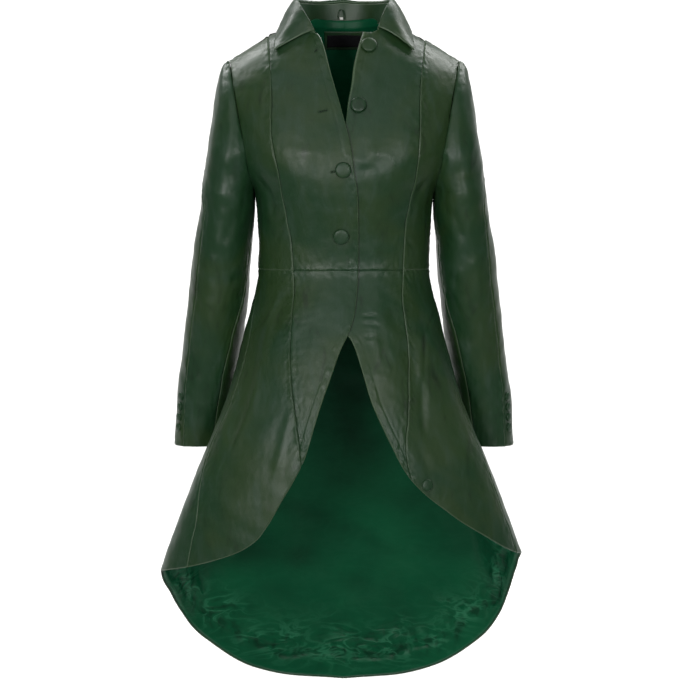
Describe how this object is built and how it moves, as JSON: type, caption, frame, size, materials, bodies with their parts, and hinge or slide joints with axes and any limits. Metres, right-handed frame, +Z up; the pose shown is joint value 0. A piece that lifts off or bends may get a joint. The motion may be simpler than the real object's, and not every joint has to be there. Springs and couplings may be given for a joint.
{
  "type": "leather coat",
  "caption": "Fitted hip-flared tail coat in dark green leather with shirt collar, princess seams, cut-away front, satin-lined tail and covered buttons.",
  "frame": {"origin": "inside the neck at the height of the shoulders, on the coat's middle line, where a wearer's shoulders carry it", "axes": "+Z up along the back, -Y out of the coat's front, +X towards the wearer's left"},
  "size_m": [0.5816, 0.3845, 1.146],
  "materials": {
    "leather": "semi-gloss dyed leather, cloudy dark green",
    "satin": "smooth dark green satin",
    "label_cloth": "woven black, bare"
  },
  "bodies": {
    "root": {"back_left": "leather", "back_right": "leather", "button_1": "leather", "button_2": "leather", "button_3": "leather", "button_4": "leather", "collar_fall": "leather", "collar_stand": "leather", "front_left": "leather", "front_right": "leather", "hanging_loop": "leather", "hem_button": "leather", "label": "label_cloth", "label_patch": "leather", "lining_back": "satin", "lining_tail": "satin", "side_front_left": "leather", "side_front_right": "leather", "skirt_front_left": "leather", "skirt_front_right": "leather", "skirt_side_left": "leather", "skirt_side_right": "leather", "sleeve_under_left": "leather", "sleeve_under_right": "leather", "sleeve_upper_left": "leather", "sleeve_upper_right": "leather", "tail_left": "leather", "tail_right": "leather", "vent_button_left_1": "leather", "vent_button_left_2": "leather", "vent_button_left_3": "leather", "vent_button_left_4": "leather", "vent_button_right_1": "leather", "vent_button_right_2": "leather", "vent_button_right_3": "leather", "vent_button_right_4": "leather"}
  },
  "joints": []
}
